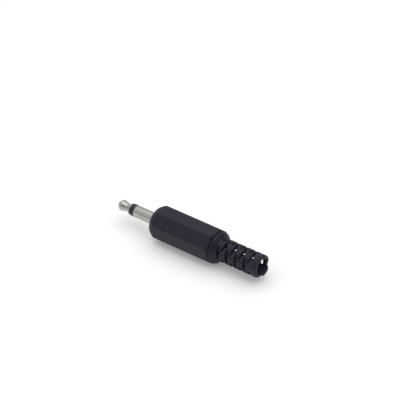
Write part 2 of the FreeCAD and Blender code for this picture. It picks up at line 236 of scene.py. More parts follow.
@dataclass(frozen=True)
class Bevel:
    """Rounding that is laid on sharp edges once a form is drawn.

    Attributes:
        width: Width of the rounding in millimetres.
        sharper_than: Edges that bend by more than this many degrees are rounded. Where it is None, those
            that the form has marked are.
        steps: Faces across it.
    """

    width: float
    sharper_than: float | None = None
    steps: int = 2


def finished(mesh: bpy.types.Mesh, bevel: Bevel | None = None) -> bpy.types.Object:
    """Rounds a form's edges, brings it to metres and smooths its shading.

    Args:
        mesh: The form in millimetres.
        bevel: The rounding of its sharp edges, if any.

    Returns:
        The object, linked to the scene.
    """
    smooth_under, flat_face_weight = 40.0, 60
    piece = placed(mesh.name, mesh)
    if bevel is not None:
        rounding = piece.modifiers.new("edge_rounding", "BEVEL")
        rounding.width = bevel.width
        rounding.segments = bevel.steps
        rounding.use_clamp_overlap = False
        rounding.miter_outer = "MITER_ARC"
        rounding.limit_method = "WEIGHT"
        if bevel.sharper_than is not None:
            rounding.limit_method = "ANGLE"
            rounding.angle_limit = math.radians(bevel.sharper_than)
        ready = piece.evaluated_get(bpy.context.evaluated_depsgraph_get())
        made = bpy.data.meshes.new_from_object(ready)
        made.name = mesh.name
        piece.modifiers.clear()
        piece.data = made
        bpy.data.meshes.remove(mesh)
    piece.data.transform(Matrix.Scale(MM, 4))
    piece.data.shade_smooth()
    piece.data.set_sharp_from_angle(angle=math.radians(smooth_under))
    weighted = piece.modifiers.new("flat_faces_stay_flat", "WEIGHTED_NORMAL")
    weighted.keep_sharp = True
    weighted.weight = flat_face_weight
    return piece


# Finishes. Grain sizes are in millimetres, and pairs are the ends of a range or a relief's strength and depth


class Wiring:
    """Adds and joins the nodes of one material, or those of the room's light."""

    def __init__(self, owner: bpy.types.Material | bpy.types.World, shader: str, output: str) -> None:
        """Clears the owner's nodes and starts again from its shader.

        Args:
            owner: The material or the world.
            shader: Blender's name for the shader.
            output: Blender's name for the output.
        """
        owner.use_nodes = True
        self.owner = owner
        self.tree = owner.node_tree
        self.tree.nodes.clear()
        self.shader = self.add(shader)
        self.add(output, Surface=self.shader.outputs[0])

    def put(self, socket: Socket, value: Value) -> None:
        """Sets an input to a value, or joins it to a socket.

        Args:
            socket: The input.
            value: The value, or the socket that it comes from.
        """
        if isinstance(value, Socket):
            self.tree.links.new(value, socket)
        else:
            socket.default_value = value

    def fill(self, node: bpy.types.Node, **inputs: Value) -> None:
        """Sets the inputs of a node, by name with _ for a space."""
        for name, value in inputs.items():
            self.put(node.inputs[name.replace("_", " ")], value)

    def add(self, kind: str, settings: dict[str, str] | None = None, **inputs: Value) -> bpy.types.Node:
        """Adds a node.

        Args:
            kind: Blender's name for the node.
            settings: Properties of the node itself.
            inputs: Values or sockets for its inputs, by name with _ for a space.

        Returns:
            The node.
        """
        node = self.tree.nodes.new(kind)
        for name, value in (settings or {}).items():
            setattr(node, name, value)
        self.fill(node, **inputs)
        return node

    def number(self, operation: str, *values: Value) -> Socket:
        """Works out one number from others.

        Args:
            operation: Blender's name for the operation.
            values: One to three numbers or sockets.

        Returns:
            The socket of the result.
        """
        node = self.add("ShaderNodeMath", {"operation": operation})
        for socket, value in zip(node.inputs, values):
            self.put(socket, value)
        return node.outputs[0]

    def ramp(self, value: Socket, span: Point, onto: Point, course: str = "LINEAR") -> Socket:
        """Maps a number from one range onto another and holds it there.

        Args:
            value: The number.
            span: Start and end of its range.
            onto: What they become.
            course: Blender's name for the course between them.

        Returns:
            The socket of the result.
        """
        node = self.add("ShaderNodeMapRange", {"interpolation_type": course}, Value=value)
        self.fill(node, From_Min=span[0], From_Max=span[1], To_Min=onto[0], To_Max=onto[1])
        return node.outputs["Result"]

    def spread(self, strength: Socket, low: float = 0.0, high: float = 1.0) -> Socket:
        """Maps a pattern's strength from its usual range onto another, and gives back its socket."""
        usual = (0.3, 0.7)
        return self.ramp(strength, usual, (low, high))

    def place(self) -> Socket:
        """Place on the piece, in metres."""
        return self.add("ShaderNodeTexCoord").outputs["Object"]

    def turned_place(self) -> tuple[Socket, Socket]:
        """Works out where a place lies on the turned pieces.

        Returns:
            Sockets of its distances along the axis and from it, in metres.
        """
        apart = self.add("ShaderNodeSeparateXYZ", Vector=self.place()).outputs
        squared = self.number("MULTIPLY", apart["Z"], apart["Z"])
        return apart["X"], self.number("SQRT", self.number("MULTIPLY_ADD", apart["Y"], apart["Y"], squared))

    def pattern(self, kind: Pattern, grain: float, where: Socket, detail: float = 2.0) -> Socket:
        """Draws a pattern of one grain size.

        Args:
            kind: The pattern.
            grain: Size of its grain in millimetres.
            where: The place it is drawn at.
            detail: Finer layers of a noise.

        Returns:
            The socket of its strength.
        """
        node = self.add(kind.value, Vector=where, Scale=1.0 / (grain * MM))
        if kind is Pattern.NOISE:
            self.fill(node, Detail=detail)
            return node.outputs["Fac"]
        return node.outputs["Distance"]

    def blend(self, share: Socket, first: Value, second: Value) -> Socket:
        """Blends two colours.

        Args:
            share: Share of the second colour.
            first: First colour or socket.
            second: Second colour or socket.

        Returns:
            The socket of the blended colour.
        """
        node = self.add("ShaderNodeMix", {"data_type": "RGBA"}, Factor=share)
        colours = [socket for socket in node.inputs if socket.type == "RGBA"]
        for socket, value in zip(colours, (first, second)):
            self.put(socket, value)
        return next(socket for socket in node.outputs if socket.type == "RGBA")

    def relief(self, height: Socket, strength: float, depth: float, over: Socket | None = None) -> Socket:
        """Raises a surface's grain.

        Args:
            height: The grain's height, from 0 to 1.
            strength: How fully it shows.
            depth: Its depth in millimetres.
            over: Normal of a coarser grain below it, if any.

        Returns:
            The socket of the normal.
        """
        node = self.add("ShaderNodeBump", Height=height, Strength=strength, Distance=depth * MM)
        if over is not None:
            self.fill(node, Normal=over)
        return node.outputs["Normal"]

    def coated(self, **inputs: Value) -> bpy.types.Material:
        """Sets the shader's inputs, by name with _ for a space, and gives back the finished material."""
        self.fill(self.shader, **inputs)
        return self.owner


def new_finish(name: str) -> Wiring:
    """Starts a material with a shader of its own."""
    return Wiring(bpy.data.materials.new(name), "ShaderNodeBsdfPrincipled", "ShaderNodeOutputMaterial")


def colour(red: float, green: float, blue: float) -> Colour:
    """Opaque colour of three linear shares."""
    return (red, green, blue, 1.0)


@dataclass(frozen=True)
class TurnedNickel:
    """Bright nickel over turned brass: rings left by the tool, faint stains and a soft gloss."""

    plate: Colour = colour(0.474, 0.465, 0.440)
    stain: Colour = colour(0.450, 0.439, 0.408)
    patch: float = 2.4
    gloss: Point = (0.29, 0.34)
    smear: float = 0.5
    smear_gloss: Point = (-0.01, 0.02)
    anisotropy: float = 0.45
    tool_feed: float = 0.045
    ring_relief: Point = (0.18, 0.004)

    def material(self) -> bpy.types.Material:
        """Builds the finish.

        Returns:
            The material.
        """
        wiring = new_finish("turned_nickel")
        where = wiring.place()
        rings = wiring.add("ShaderNodeTexNoise", {"noise_dimensions": "1D"}, Detail=3.0)
        wiring.fill(rings, W=wiring.number("ADD", *wiring.turned_place()), Scale=1.0 / (self.tool_feed * MM))
        ring = rings.outputs["Fac"]
        patches = wiring.pattern(Pattern.NOISE, self.patch, where, detail=4.0)
        smears = wiring.pattern(Pattern.NOISE, self.smear, where, detail=3.0)
        smeared = wiring.spread(smears, *self.smear_gloss)
        tangent = wiring.add("ShaderNodeTangent", {"direction_type": "RADIAL", "axis": "X"})
        return wiring.coated(
            Base_Color=wiring.blend(wiring.spread(patches), self.plate, self.stain),
            Roughness=wiring.number("ADD", smeared, wiring.spread(ring, *self.gloss)),
            Normal=wiring.relief(ring, *self.ring_relief),
            Metallic=1.0,
            Anisotropic=self.anisotropy,
            Tangent=tangent.outputs["Tangent"],
        )


@dataclass(frozen=True)
class TinnedSheet:
    """Tinned brass sheet: dull silver with rolling lines and cloudy spots."""

    tin: Colour = colour(0.56, 0.555, 0.54)
    cloud: Colour = colour(0.43, 0.425, 0.40)
    spot: float = 0.9
    gloss: Point = (0.31, 0.48)
    rolling: float = 0.05
    line_stretch: float = 0.12
    line_relief: Point = (0.3, 0.004)
    cloud_relief: Point = (0.25, 0.02)

    def material(self) -> bpy.types.Material:
        """Builds the finish.

        Returns:
            The material.
        """
        wiring = new_finish("tinned_sheet")
        where = wiring.place()
        stretched = wiring.add("ShaderNodeVectorMath", {"operation": "MULTIPLY"})
        wiring.put(stretched.inputs[0], where)
        wiring.put(stretched.inputs[1], (self.line_stretch, 1.0, 1.0))
        lines = wiring.pattern(Pattern.NOISE, self.rolling, stretched.outputs[0], detail=3.0)
        clouds = wiring.pattern(Pattern.NOISE, self.spot, where, detail=5.0)
        return wiring.coated(
            Base_Color=wiring.blend(wiring.spread(clouds), self.tin, self.cloud),
            Roughness=wiring.spread(clouds, *self.gloss),
            Normal=wiring.relief(lines, *self.line_relief, wiring.relief(clouds, *self.cloud_relief)),
            Metallic=1.0,
        )


@dataclass(frozen=True)
class HoodPlastic:
    """Matt blue-black moulding: spark-eroded grain, faint flow clouds, rubbed edges and painted light in its
    depths.

    The painted light in its depths makes the bore and the slot floors paler. It begins at one distance from
    the axis and is full everywhere below the other.
    Edges begin to be rubbed at one pointiness and are rubbed most above the other.
    """

    deep: Colour = colour(0.0012, 0.0010, 0.0090)
    pale: Colour = colour(0.0190, 0.0185, 0.0422)
    rubbed: Colour = colour(0.026, 0.026, 0.040)
    # Paler colour painted into the bore and slot floors: painted light that falls into them, not dust
    painted_bounce_light: Colour = colour(0.030, 0.030, 0.051)
    painted_light_from: float = 3.25
    painted_light_full_below: float = 2.5
    rubbed_from: float = 0.52
    rubbed_above: float = 0.60
    most_rubbed: float = 0.55
    matt: Point = (0.51, 0.58)
    sheen: float = 0.35
    cloud: float = 1.6
    cloud_pale: Point = (0.0, 0.2)
    speckle: float = 0.34
    speckle_pale: Point = (0.0, 0.8)
    speckle_relief: Point = (0.8, 0.024)
    pit: float = 0.187
    pit_relief: Point = (0.22, 0.012)
    grain: float = 0.11
    grain_matt: Point = (-0.05, 0.05)
    grain_rubbed: Point = (0.3, 1.0)
    grain_relief: Point = (0.5, 0.010)

    def material(self) -> bpy.types.Material:
        """Builds the finish.

        Returns:
            The material.
        """
        wiring = new_finish("hood_plastic")
        where = wiring.place()
        clouds = wiring.pattern(Pattern.NOISE, self.cloud, where, detail=4.0)
        grain = wiring.pattern(Pattern.NOISE, self.grain, where, detail=3.0)
        pits = wiring.pattern(Pattern.VORONOI, self.pit, where)
        speckle = wiring.pattern(Pattern.NOISE, self.speckle, where)
        clouded = wiring.spread(clouds, *self.cloud_pale)
        mottled = wiring.number("ADD", clouded, wiring.spread(speckle, *self.speckle_pale))
        skin = wiring.blend(mottled, self.deep, self.pale)
        # Painted light: everything nearer the axis than the relief's skin, the bore and the slot floors, is
        # painted paler as if lit from the mouth
        off_axis = wiring.turned_place()[1]
        painted_light_share = wiring.ramp(off_axis, (self.painted_light_from * MM, self.painted_light_full_below * MM), (0.0, 1.0))
        edges = wiring.add("ShaderNodeNewGeometry").outputs["Pointiness"]
        worn = wiring.ramp(edges, (self.rubbed_from, self.rubbed_above), (0.0, self.most_rubbed))
        rub = wiring.number("MULTIPLY", worn, wiring.spread(grain, *self.grain_rubbed))
        rough = wiring.spread(clouds, *self.matt)
        coarse = wiring.relief(pits, *self.pit_relief, wiring.relief(speckle, *self.speckle_relief))
        return wiring.coated(
            Base_Color=wiring.blend(rub, wiring.blend(painted_light_share, skin, self.painted_bounce_light), self.rubbed),
            Roughness=wiring.number("ADD", rough, wiring.spread(grain, *self.grain_matt)),
            Normal=wiring.relief(grain, *self.grain_relief, coarse),
            Specular_IOR_Level=self.sheen,
        )


@dataclass(frozen=True)
class InsulatorPlastic:
    """Smooth black acetal of the insulators, turned with the metal and a little waxy."""

    black: Colour = colour(0.0052, 0.0050, 0.0125)
    waxy: Colour = colour(0.0092, 0.0090, 0.0205)
    bloom: float = 0.7
    gloss: Point = (0.38, 0.48)
    grain: float = 0.06
    grain_relief: Point = (0.2, 0.003)

    def material(self) -> bpy.types.Material:
        """Builds the finish.

        Returns:
            The material.
        """
        wiring = new_finish("insulator_plastic")
        where = wiring.place()
        bloom = wiring.pattern(Pattern.NOISE, self.bloom, where, detail=4.0)
        grain = wiring.pattern(Pattern.NOISE, self.grain, where)
        return wiring.coated(
            Base_Color=wiring.blend(wiring.spread(bloom), self.black, self.waxy),
            Roughness=wiring.spread(bloom, *self.gloss),
            Normal=wiring.relief(grain, *self.grain_relief),
        )


@dataclass(frozen=True)
class StudioPaper:
    """Smooth white paper that the plug lies on, lit a little from below by the light table."""

    white: Colour = colour(0.90, 0.90, 0.90)
    shade: Colour = colour(0.885, 0.885, 0.888)
    fibre: float = 6.0
    matt: float = 0.9
    sheen: float = 0.2
    glow: float = 0.25

    def material(self) -> bpy.types.Material:
        """Builds the finish.

        Returns:
            The material.
        """
        wiring = new_finish("studio_paper")
        fibres = wiring.pattern(Pattern.NOISE, self.fibre, wiring.place(), detail=3.0)
        return wiring.coated(
            Base_Color=wiring.blend(wiring.spread(fibres), self.white, self.shade),
            Roughness=self.matt,
            Specular_IOR_Level=self.sheen,
            Emission_Color=self.white,
            Emission_Strength=self.glow,
        )


class Finishes:
    """One material for each slot of the record, shared by the pieces that wear it."""

    def __init__(self) -> None:
        """Builds the materials."""
        self.materials = {
            Slot.NICKEL: TurnedNickel().material(),
            Slot.TIN: TinnedSheet().material(),
            Slot.HOOD: HoodPlastic().material(),
            Slot.INSULATOR: InsulatorPlastic().material(),
        }

    def dress(self, piece: bpy.types.Object, node: str, body: Body, slot: Slot) -> None:
        """Gives a piece its finish and seats it in the frame in place of its CAD node.

        Args:
            piece: The finished piece.
            node: The CAD node that it stands for.
            body: The body that it moves with.
            slot: The record's material slot.
        """
        piece.data.materials.clear()
        piece.data.materials.append(self.materials[slot])
        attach(piece, body.value)
        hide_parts(node)
        LOG.info("%s: %d faces, on body %s", piece.name, len(piece.data.polygons), body.value)


# Finger and terminals, the body that the hood slides off


@dataclass
class TurnedPiece:
    """A piece of the plug that is turned, or moulded round the axis.

    Attributes:
        name: Name of the piece.
        node: The CAD node that it stands for.
        slot: The record's material slot.
        hollow: Whether it has a bore right through.
        longest: Longest straight step of its profile that is kept in one piece.
        segments: Steps round the axis.
    """

    name: str = ""
    node: str = ""
    slot: Slot = Slot.NICKEL
    hollow: bool = True
    longest: float = 1.0
    segments: int = 144

    def corners(self) -> list[Corner]:
        """Corners of the profile. Each kind of piece has its own."""
        raise NotImplementedError

    def profile(self) -> list[Point]:
        """Fine line of points that is swept round the axis."""
        return rounded_profile(self.corners(), self.hollow, self.longest)

    def surface(self, x: float, radius: float, angle: float) -> float:
        """Radius of the surface, which is the profile's own whatever the angle."""
        return radius

    def sweep(self) -> bpy.types.Mesh:
        """Sweeps the profile round the axis.

        Returns:
            The mesh, in millimetres.
        """
        shape = bmesh.new()
        rings = []
        for x, radius in self.profile():
            if radius < HAIR:
                rings.append([shape.verts.new((x, 0.0, 0.0))] * self.segments)
                continue
            ring = []
            for angle in (2 * math.pi * step / self.segments for step in range(self.segments)):
                reach = self.surface(x, radius, angle)
                ring.append(shape.verts.new((x, reach * math.cos(angle), reach * math.sin(angle))))
            rings.append(ring)
        for near, far in zip(rings, rings[1:] + (rings[:1] if self.hollow else [])):
            for step in range(self.segments):
                after = (step + 1) % self.segments
                distinct = list(dict.fromkeys((near[step], near[after], far[after], far[step])))
                if len(distinct) > 2:
                    shape.faces.new(distinct)
        return meshed(self.name, shape, WELD)

    def build(self, finishes: Finishes) -> None:
        """Builds and dresses the piece."""
        finishes.dress(finished(self.sweep()), self.node, Body.PLUG, self.slot)


@dataclass
class TipContact(TurnedPiece):
    """Turned centre contact: ball-like head, waist, collar, rod and the end peened over the solder tag."""

    name: str = "tip_contact_turned"
    node: str = "tip_contact"
    hollow: bool = False
    longest: float = 0.5
    tip_end: float = -14.0
    nose_radius: float = 0.65
    nose_round: float = 0.25
    crest_radius: float = 1.56
    crest_from: float = 1.0
    crest_to: float = 1.5
    crest_round: float = 0.8
    waist_radius: float = 1.13
    waist_from: float = 3.30
    waist_to: float = 3.50
    waist_round: float = 0.5
    collar_radius: float = 1.58
    collar_from: float = 4.25
    collar_round: float = 0.12
    head_length: float = 4.77
    head_back_round: float = 0.04
    rod_radius: float = 0.8
    eye_back: float = 7.5
    rivet_radius: float = 1.2
    rivet_height: float = 0.35
    rivet_round: float = 0.28
    rivet_root: float = 0.05

    def corners(self) -> list[Corner]:
        """Draws the profile, from the nose to the peened end.

        Returns:
            Its corners.
        """
        tip, back = self.tip_end, self.eye_back
        return [
            Corner(tip, 0.0),
            Corner(tip, self.nose_radius, self.nose_round),
            Corner(tip + self.crest_from, self.crest_radius, self.crest_round),
            Corner(tip + self.crest_to, self.crest_radius, self.crest_round),
            Corner(tip + self.waist_from, self.waist_radius, self.waist_round),
            Corner(tip + self.waist_to, self.waist_radius, self.waist_round),
            Corner(tip + self.collar_from, self.collar_radius, self.collar_round),
            Corner(tip + self.head_length, self.collar_radius, self.head_back_round),
            Corner(tip + self.head_length, self.rod_radius),
            Corner(back, self.rod_radius),
            Corner(back, self.rivet_radius, self.rivet_root),
            Corner(back + self.rivet_height, self.rivet_radius, self.rivet_round),
            Corner(back + self.rivet_height, 0.0),
        ]


@dataclass
class FrontInsulator(TurnedPiece):
    """Black ring between tip and sleeve, with the tube that lines the sleeve."""

    name: str = "tip_insulator_ring"
    node: str = "tip_insulator"
    slot: Slot = Slot.INSULATOR
    head_back: float = -9.23
    ring_back: float = -7.55
    ring_radius: float = 1.75
    ring_back_round: float = 0.03
    tube_radius: float = 1.2
    tube_end: float = 3.0
    tube_end_round: float = 0.05
    bore_radius: float = 0.82
    bore_round: float = 0.02
    bevel: float = 0.12
    bevel_round: float = 0.04

    def corners(self) -> list[Corner]:
        """Draws the moulded profile, outside first.

        Returns:
            Its corners.
        """
        return [
            Corner(self.head_back, self.bore_radius, self.bore_round),
            Corner(self.head_back, self.ring_radius - self.bevel, self.bevel_round),
            Corner(self.head_back + self.bevel, self.ring_radius, self.bevel_round),
            Corner(self.ring_back, self.ring_radius, self.ring_back_round),
            Corner(self.ring_back, self.tube_radius),
            Corner(self.tube_end, self.tube_radius, self.tube_end_round),
            Corner(self.tube_end, self.bore_radius),
        ]


@dataclass
class SleeveBarrel(TurnedPiece):
    """Turned earth contact: sleeve, flange, neck with its cut thread, and the spigot staked over the eye."""

    name: str = "sleeve_barrel_turned"
    node: str = "sleeve_barrel"
    longest: float = 0.6
    ring_back: float = -7.55
    sleeve_radius: float = 1.75
    sleeve_front_round: float = 0.05
    sleeve_root_round: float = 0.06
    front_bore: float = 1.22
    front_bore_round: float = 0.02
    front_bore_depth: float = 3.0
    rear_bore: float = 1.3
    flange_radius: float = 3.3
    flange_back: float = 0.5
    flange_round: float = 0.12
    runout_radius: float = 2.6
    runout_back: float = 1.10
    runout_round: float = 0.05
    neck_radius: float = 3.0
    neck_back: float = 6.0
    edge_round: float = 0.04
    stake_radius: float = 1.55
    stake_front: float = 6.4
    rim_radius: float = 1.95
    rim_back: float = 6.6
    rim_round: float = 0.12
    thread_pitch: float = 0.5
    thread_depth: float = 0.30
    thread_steps: int = 12
    thread_crest: float = 0.92
    thread_flank: float = 0.8

    def corners(self) -> list[Corner]:
        """Draws the turned profile, outside first and then back along the bore.

        Returns:
            Its corners.
        """
        ramp = self.neck_radius - self.runout_radius
        return [
            Corner(self.ring_back, self.front_bore, self.front_bore_round),
            Corner(self.ring_back, self.sleeve_radius, self.sleeve_front_round),
            Corner(0.0, self.sleeve_radius, self.sleeve_root_round),
            Corner(0.0, self.flange_radius, self.flange_round),
            Corner(self.flange_back, self.flange_radius, self.flange_round),
            Corner(self.flange_back, self.runout_radius, self.runout_round),
            Corner(self.runout_back, self.runout_radius, self.runout_round),
            Corner(self.runout_back + ramp, self.neck_radius),
            Corner(self.neck_back - ramp / 2, self.neck_radius),
            Corner(self.neck_back, self.neck_radius - ramp / 2, self.edge_round),
            Corner(self.neck_back, self.stake_radius),
            Corner(self.stake_front, self.stake_radius),
            Corner(self.stake_front, self.rim_radius, self.edge_round),
            Corner(self.rim_back, self.rim_radius, self.rim_round),
            Corner(self.rim_back, self.rear_bore, self.edge_round),
            Corner(self.front_bore_depth, self.rear_bore),
            Corner(self.front_bore_depth, self.front_bore),
        ]

    def profile(self) -> list[Point]:
        """Adds enough points along the neck to carry the thread.

        Returns:
            The fine line of points that is swept round the axis.
        """
        line = super().profile()
        step = self.thread_pitch / self.thread_steps
        lowest = self.runout_radius - self.runout_round
        threaded: list[Point] = []
        for here, after in zip(line, line[1:] + line[:1]):
            ahead = after[0] - here[0]
            on_neck = here[0] > self.flange_back and min(here[1], after[1]) > lowest and ahead > step
            threaded += stepped(here, after, math.ceil(ahead / step) if on_neck else 1)
        return threaded

    def surface(self, x: float, radius: float, angle: float) -> float:
        """Cuts the thread into the neck.

        Args:
            x: Place along the axis.
            radius: Radius of the plain turned surface there.
            angle: Angle round the axis, in radians.

        Returns:
            The radius with the thread cut in, and the plain radius away from the neck.
        """
        if radius < self.runout_radius + TOUCH or not self.runout_back < x < self.neck_back:
            return radius
        turns = x / self.thread_pitch - angle / (2 * math.pi)
        share = abs((turns % 1.0) * 2 - 1)
        cut = self.thread_depth * clamped((self.thread_crest - share) / self.thread_flank)
        return max(radius - cut, min(radius, self.neck_radius - self.thread_depth))


@dataclass
class RearInsulator(TurnedPiece):
    """Flanged black bush that keeps the rod clear of the barrel."""

    name: str = "rear_insulator_bush"
    node: str = "rear_insulator"
    slot: Slot = Slot.INSULATOR
    segments: int = 96
    front: float = 3.0
    bush_radius: float = 1.28
    bush_round: float = 0.06
    bore_radius: float = 0.82
    bore_round: float = 0.05
    flange_front: float = 6.6
    flange_back: float = 7.1
    flange_radius: float = 2.1
    flange_round: float = 0.1

    def corners(self) -> list[Corner]:
        """Draws the moulded profile, outside first.

        Returns:
            Its corners.
        """
        return [
            Corner(self.front, self.bore_radius),
            Corner(self.front, self.bush_radius, self.bush_round),
            Corner(self.flange_front, self.bush_radius),
            Corner(self.flange_front, self.flange_radius, self.flange_round),
            Corner(self.flange_back, self.flange_radius, self.flange_round),
            Corner(self.flange_back, self.bore_radius, self.bore_round),
        ]


@dataclass
class StampedTag:
    """Terminal stamped from tinned sheet: the CAD's solid with the press's soft edges laid on it."""

    node: str
    soft_edge: Bevel = Bevel(width=0.05, sharper_than=50.0)
    flat_under: float = 1.0

    def build(self, frame: dict, finishes: Finishes) -> None:
        """Builds and dresses the terminal.

        Args:
            frame: The loaded frame.
            finishes: The finishes of the plug.
        """
        shape = bmesh.new()
        shape.from_mesh(frame["nodes"][self.node].data)
        bmesh.ops.scale(shape, vec=Vector((1 / MM,) * 3), verts=shape.verts)
        bmesh.ops.remove_doubles(shape, verts=shape.verts, dist=WELD)
        limits = {"angle_limit": math.radians(self.flat_under), "delimit": {"NORMAL"}}
        bmesh.ops.dissolve_limit(shape, verts=shape.verts, edges=shape.edges, **limits)
        piece = finished(meshed(f"{self.node}_stamped", shape, WELD), self.soft_edge)
        finishes.dress(piece, self.node, Body.PLUG, Slot.TIN)


# Hood


@dataclass(frozen=True)
class Cut:
    """One straight cut across the relief, or an open notch in the rim of its mouth.

    Attributes:
        front: Where it begins.
        width: How far it goes on from there.
        angle: Its middle, in degrees from +Y toward +Z.
        floor: Distance of its flat floor from the axis.
        opens_mouth: Whether it is a notch that runs out through the mouth.
    """

    front: float
    width: float
    angle: float
    floor: float
    opens_mouth: bool = False


@dataclass
class Hood:
    """One black moulding: octagonal grip, bead, shoulder and the slotted relief that bends with the cable."""

    front: float = 0.5
    sides: int = 8
    half_flats: float = 4.85
    corner_round: float = 0.25
    blend_width: float = 0.30
    facet_steps: int = 18
    corner_steps: int = 6
    front_radius: float = 4.25
    front_chamfer: float = 1.7
    front_round: float = 0.10
    grip_back: float = 22.1
    rear_chamfer: float = 0.6
    rear_round: float = 0.6
    groove_radius: float = 4.275
    groove_round: float = 0.06
    bead_front: float = 22.3
    bead_back: float = 22.75
    bead_radius: float = 4.58
    bead_round: float = 0.07
    shoulder_round: float = 0.6
    relief_front: float = 23.80
    relief_radius: float = 3.38
    root_inset: float = 0.1
    root_round: float = 0.2
    cable_radius: float = 2.42
    mouth: float = 38.0
    mouth_round: float = 0.58
    mouth_inner_round: float = 0.30
    rim_steps: int = 6
    bore_radius: float = 3.05
    entry_chamfer: float = 0.25
    cavity_middle: float = 12.0
    cavity_back: float = 21.5
    cavity_taper: float = 1.2
    row_count: int = 6
    row_angle: float = 110.0
    slot_start: float = 0.80
    slot_width: float = 1.1
    slot_pitch: float = 3.11
    slots_per_row: int = 4
    slot_floors: tuple[float, float] = (2.390, 2.405)
    deeper_floor: float = 2.335
    deeper_cut: tuple[int, int] = (4, 3)
    slot_edge: Bevel = Bevel(width=0.09)
    land_round: float = 0.2
    land_steps: int = 3
    notch_rows: tuple[int, int] = (2, 4)
    notch_depth: float = 0.85
    thread_pitch: float = 0.5
    thread_depth: float = 0.22
    thread_end: float = 6.5
    thread_steps: int = 10
    thread_crest: float = 0.15
    thread_flank: float = 0.75
    thread_fade: float = 0.6
    entry_fade: float = 0.2

    def first_slot(self) -> float:
        """Where the first cut along the relief begins."""
        return self.relief_front + self.slot_start - self.slot_width / 2

    def row_middle(self, index: int) -> float:
        """Middle of a row of cuts, in degrees from +Y toward +Z."""
        return self.row_angle + 360.0 / self.row_count * index

    def cuts(self) -> list[Cut]:
        """Lays out the cuts. Alternate rows are shifted by half the pitch, and two end in a notch in the rim.

        Returns:
            The cuts and the notches.
        """
        made = []
        for row in range(self.row_count):
            start = self.first_slot() if row % 2 else self.first_slot() + self.slot_pitch / 2
            angle, row_floor = self.row_middle(row), self.slot_floors[row % 2]
            for number in range(self.slots_per_row):
                front = start + self.slot_pitch * number
                floor = self.deeper_floor if (row, number) == self.deeper_cut else row_floor
                made.append(Cut(front, self.slot_width, angle, floor))
            if row in self.notch_rows:
                front = self.mouth - self.notch_depth
                made.append(Cut(front, self.notch_depth, angle, row_floor, opens_mouth=True))
        return made

    def cut_reaches(self, index: int) -> list[float]:
        """Works out how far the cuts of one row reach round the relief.

        Args:
            index: The row, counted on past the last one to the first.

        Returns:
            Angles from the row's middle at which its cuts end in the skin and in the bore, in degrees.
        """
        index %= self.row_count
        floors = [self.slot_floors[index % 2]]
        if index == self.deeper_cut[0]:
            floors.append(self.deeper_floor)
        radii = (self.relief_radius, self.cable_radius)
        return [math.degrees(math.acos(floor / radius)) for floor in floors for radius in radii]

    def floor_radius(self, angle: float, cut: Cut) -> float:
        """Finds how far a cut's flat floor lies from the axis.

        Args:
            angle: Angle round the axis, in degrees.
            cut: The cut.

        Returns:
            The radius of the floor under the angle, or no limit beside the cut.
        """
        away = math.radians((angle - cut.angle + 180.0) % 360.0 - 180.0)
        if abs(away) > math.acos(cut.floor / self.relief_radius) + HAIR:
            return math.inf
        return cut.floor / math.cos(away)

    def grip_angles(self) -> list[float]:
        """Spaces the lines that run along the grip, close together at its corners.

        Returns:
            Their angles in degrees, from 0 upward.
        """
        half_side = 180.0 / self.sides
        inner = (self.half_flats - self.corner_round) * math.tan(math.radians(half_side))
        turn = half_side - math.degrees(math.atan(inner / self.half_flats))
        half = half_side - turn
        angles = []
        for middle in (2 * half_side * side for side in range(self.sides)):
            facet, corner = range(self.facet_steps), range(self.corner_steps)
            angles += [middle - half + 2 * half * step / self.facet_steps for step in facet]
            angles += [middle + half + 2 * turn * step / self.corner_steps for step in corner]
        return sorted(angle % 360.0 for angle in angles)

    def relief_angles(self) -> list[float]:
        """Spaces the lines that run along the relief, with one at each end of every cut and of its window.

        Returns:
            Their angles in degrees, from 0 upward, as many as on the grip.
        """
        sector = 360.0 / self.row_count
        per_sector = (self.facet_steps + self.corner_steps) * self.sides // self.row_count
        angles = []
        for index in range(self.row_count):
            after = [sector - reach for reach in self.cut_reaches(index + 1)]
            stops = [0.0, *sorted([*self.cut_reaches(index), *after]), sector]
            spans = [high - low for low, high in zip(stops, stops[1:])]
            steps = [max(1, round(per_sector * span / sector)) for span in spans]
            steps[spans.index(max(spans))] += per_sector - sum(steps)
            for low, span, parts in zip(stops, spans, steps):
                start = self.row_middle(index) + low
                angles += [start + span * part / parts for part in range(parts)]
        return sorted(angle % 360.0 for angle in angles)

    def angle_pairs(self) -> list[Point]:
        """Pairs the lines of the grip with those of the relief.

        Returns:
            For each line, its angle on the grip and its angle on the relief.
        """
        grip, relief = self.grip_angles(), self.relief_angles()
        count = len(grip)
        shift = round(relief[0] / (360.0 / count))
        pairs = []
        for index, angle in enumerate(grip):
            other = relief[(index - shift) % count]
            pairs.append((angle, other + 360.0 * round((angle - other) / 360.0)))
        return pairs

    def octagon_radius(self, angle: float) -> float:
        """Finds the radius of the grip's octagon with its rounded corners.

        Args:
            angle: Angle round the axis, in degrees.

        Returns:
            The radius.
        """
        half_side = 180.0 / self.sides
        away = math.radians((angle + half_side) % (2 * half_side) - half_side)
        from_corner = math.radians(half_side) - abs(away)
        inner = (self.half_flats - self.corner_round) / math.cos(math.radians(half_side))
        under = self.corner_round**2 - (inner * math.sin(from_corner)) ** 2
        flat = self.half_flats / math.cos(away)
        return flat if under <= 0.0 else min(flat, inner * math.cos(from_corner) + math.sqrt(under))

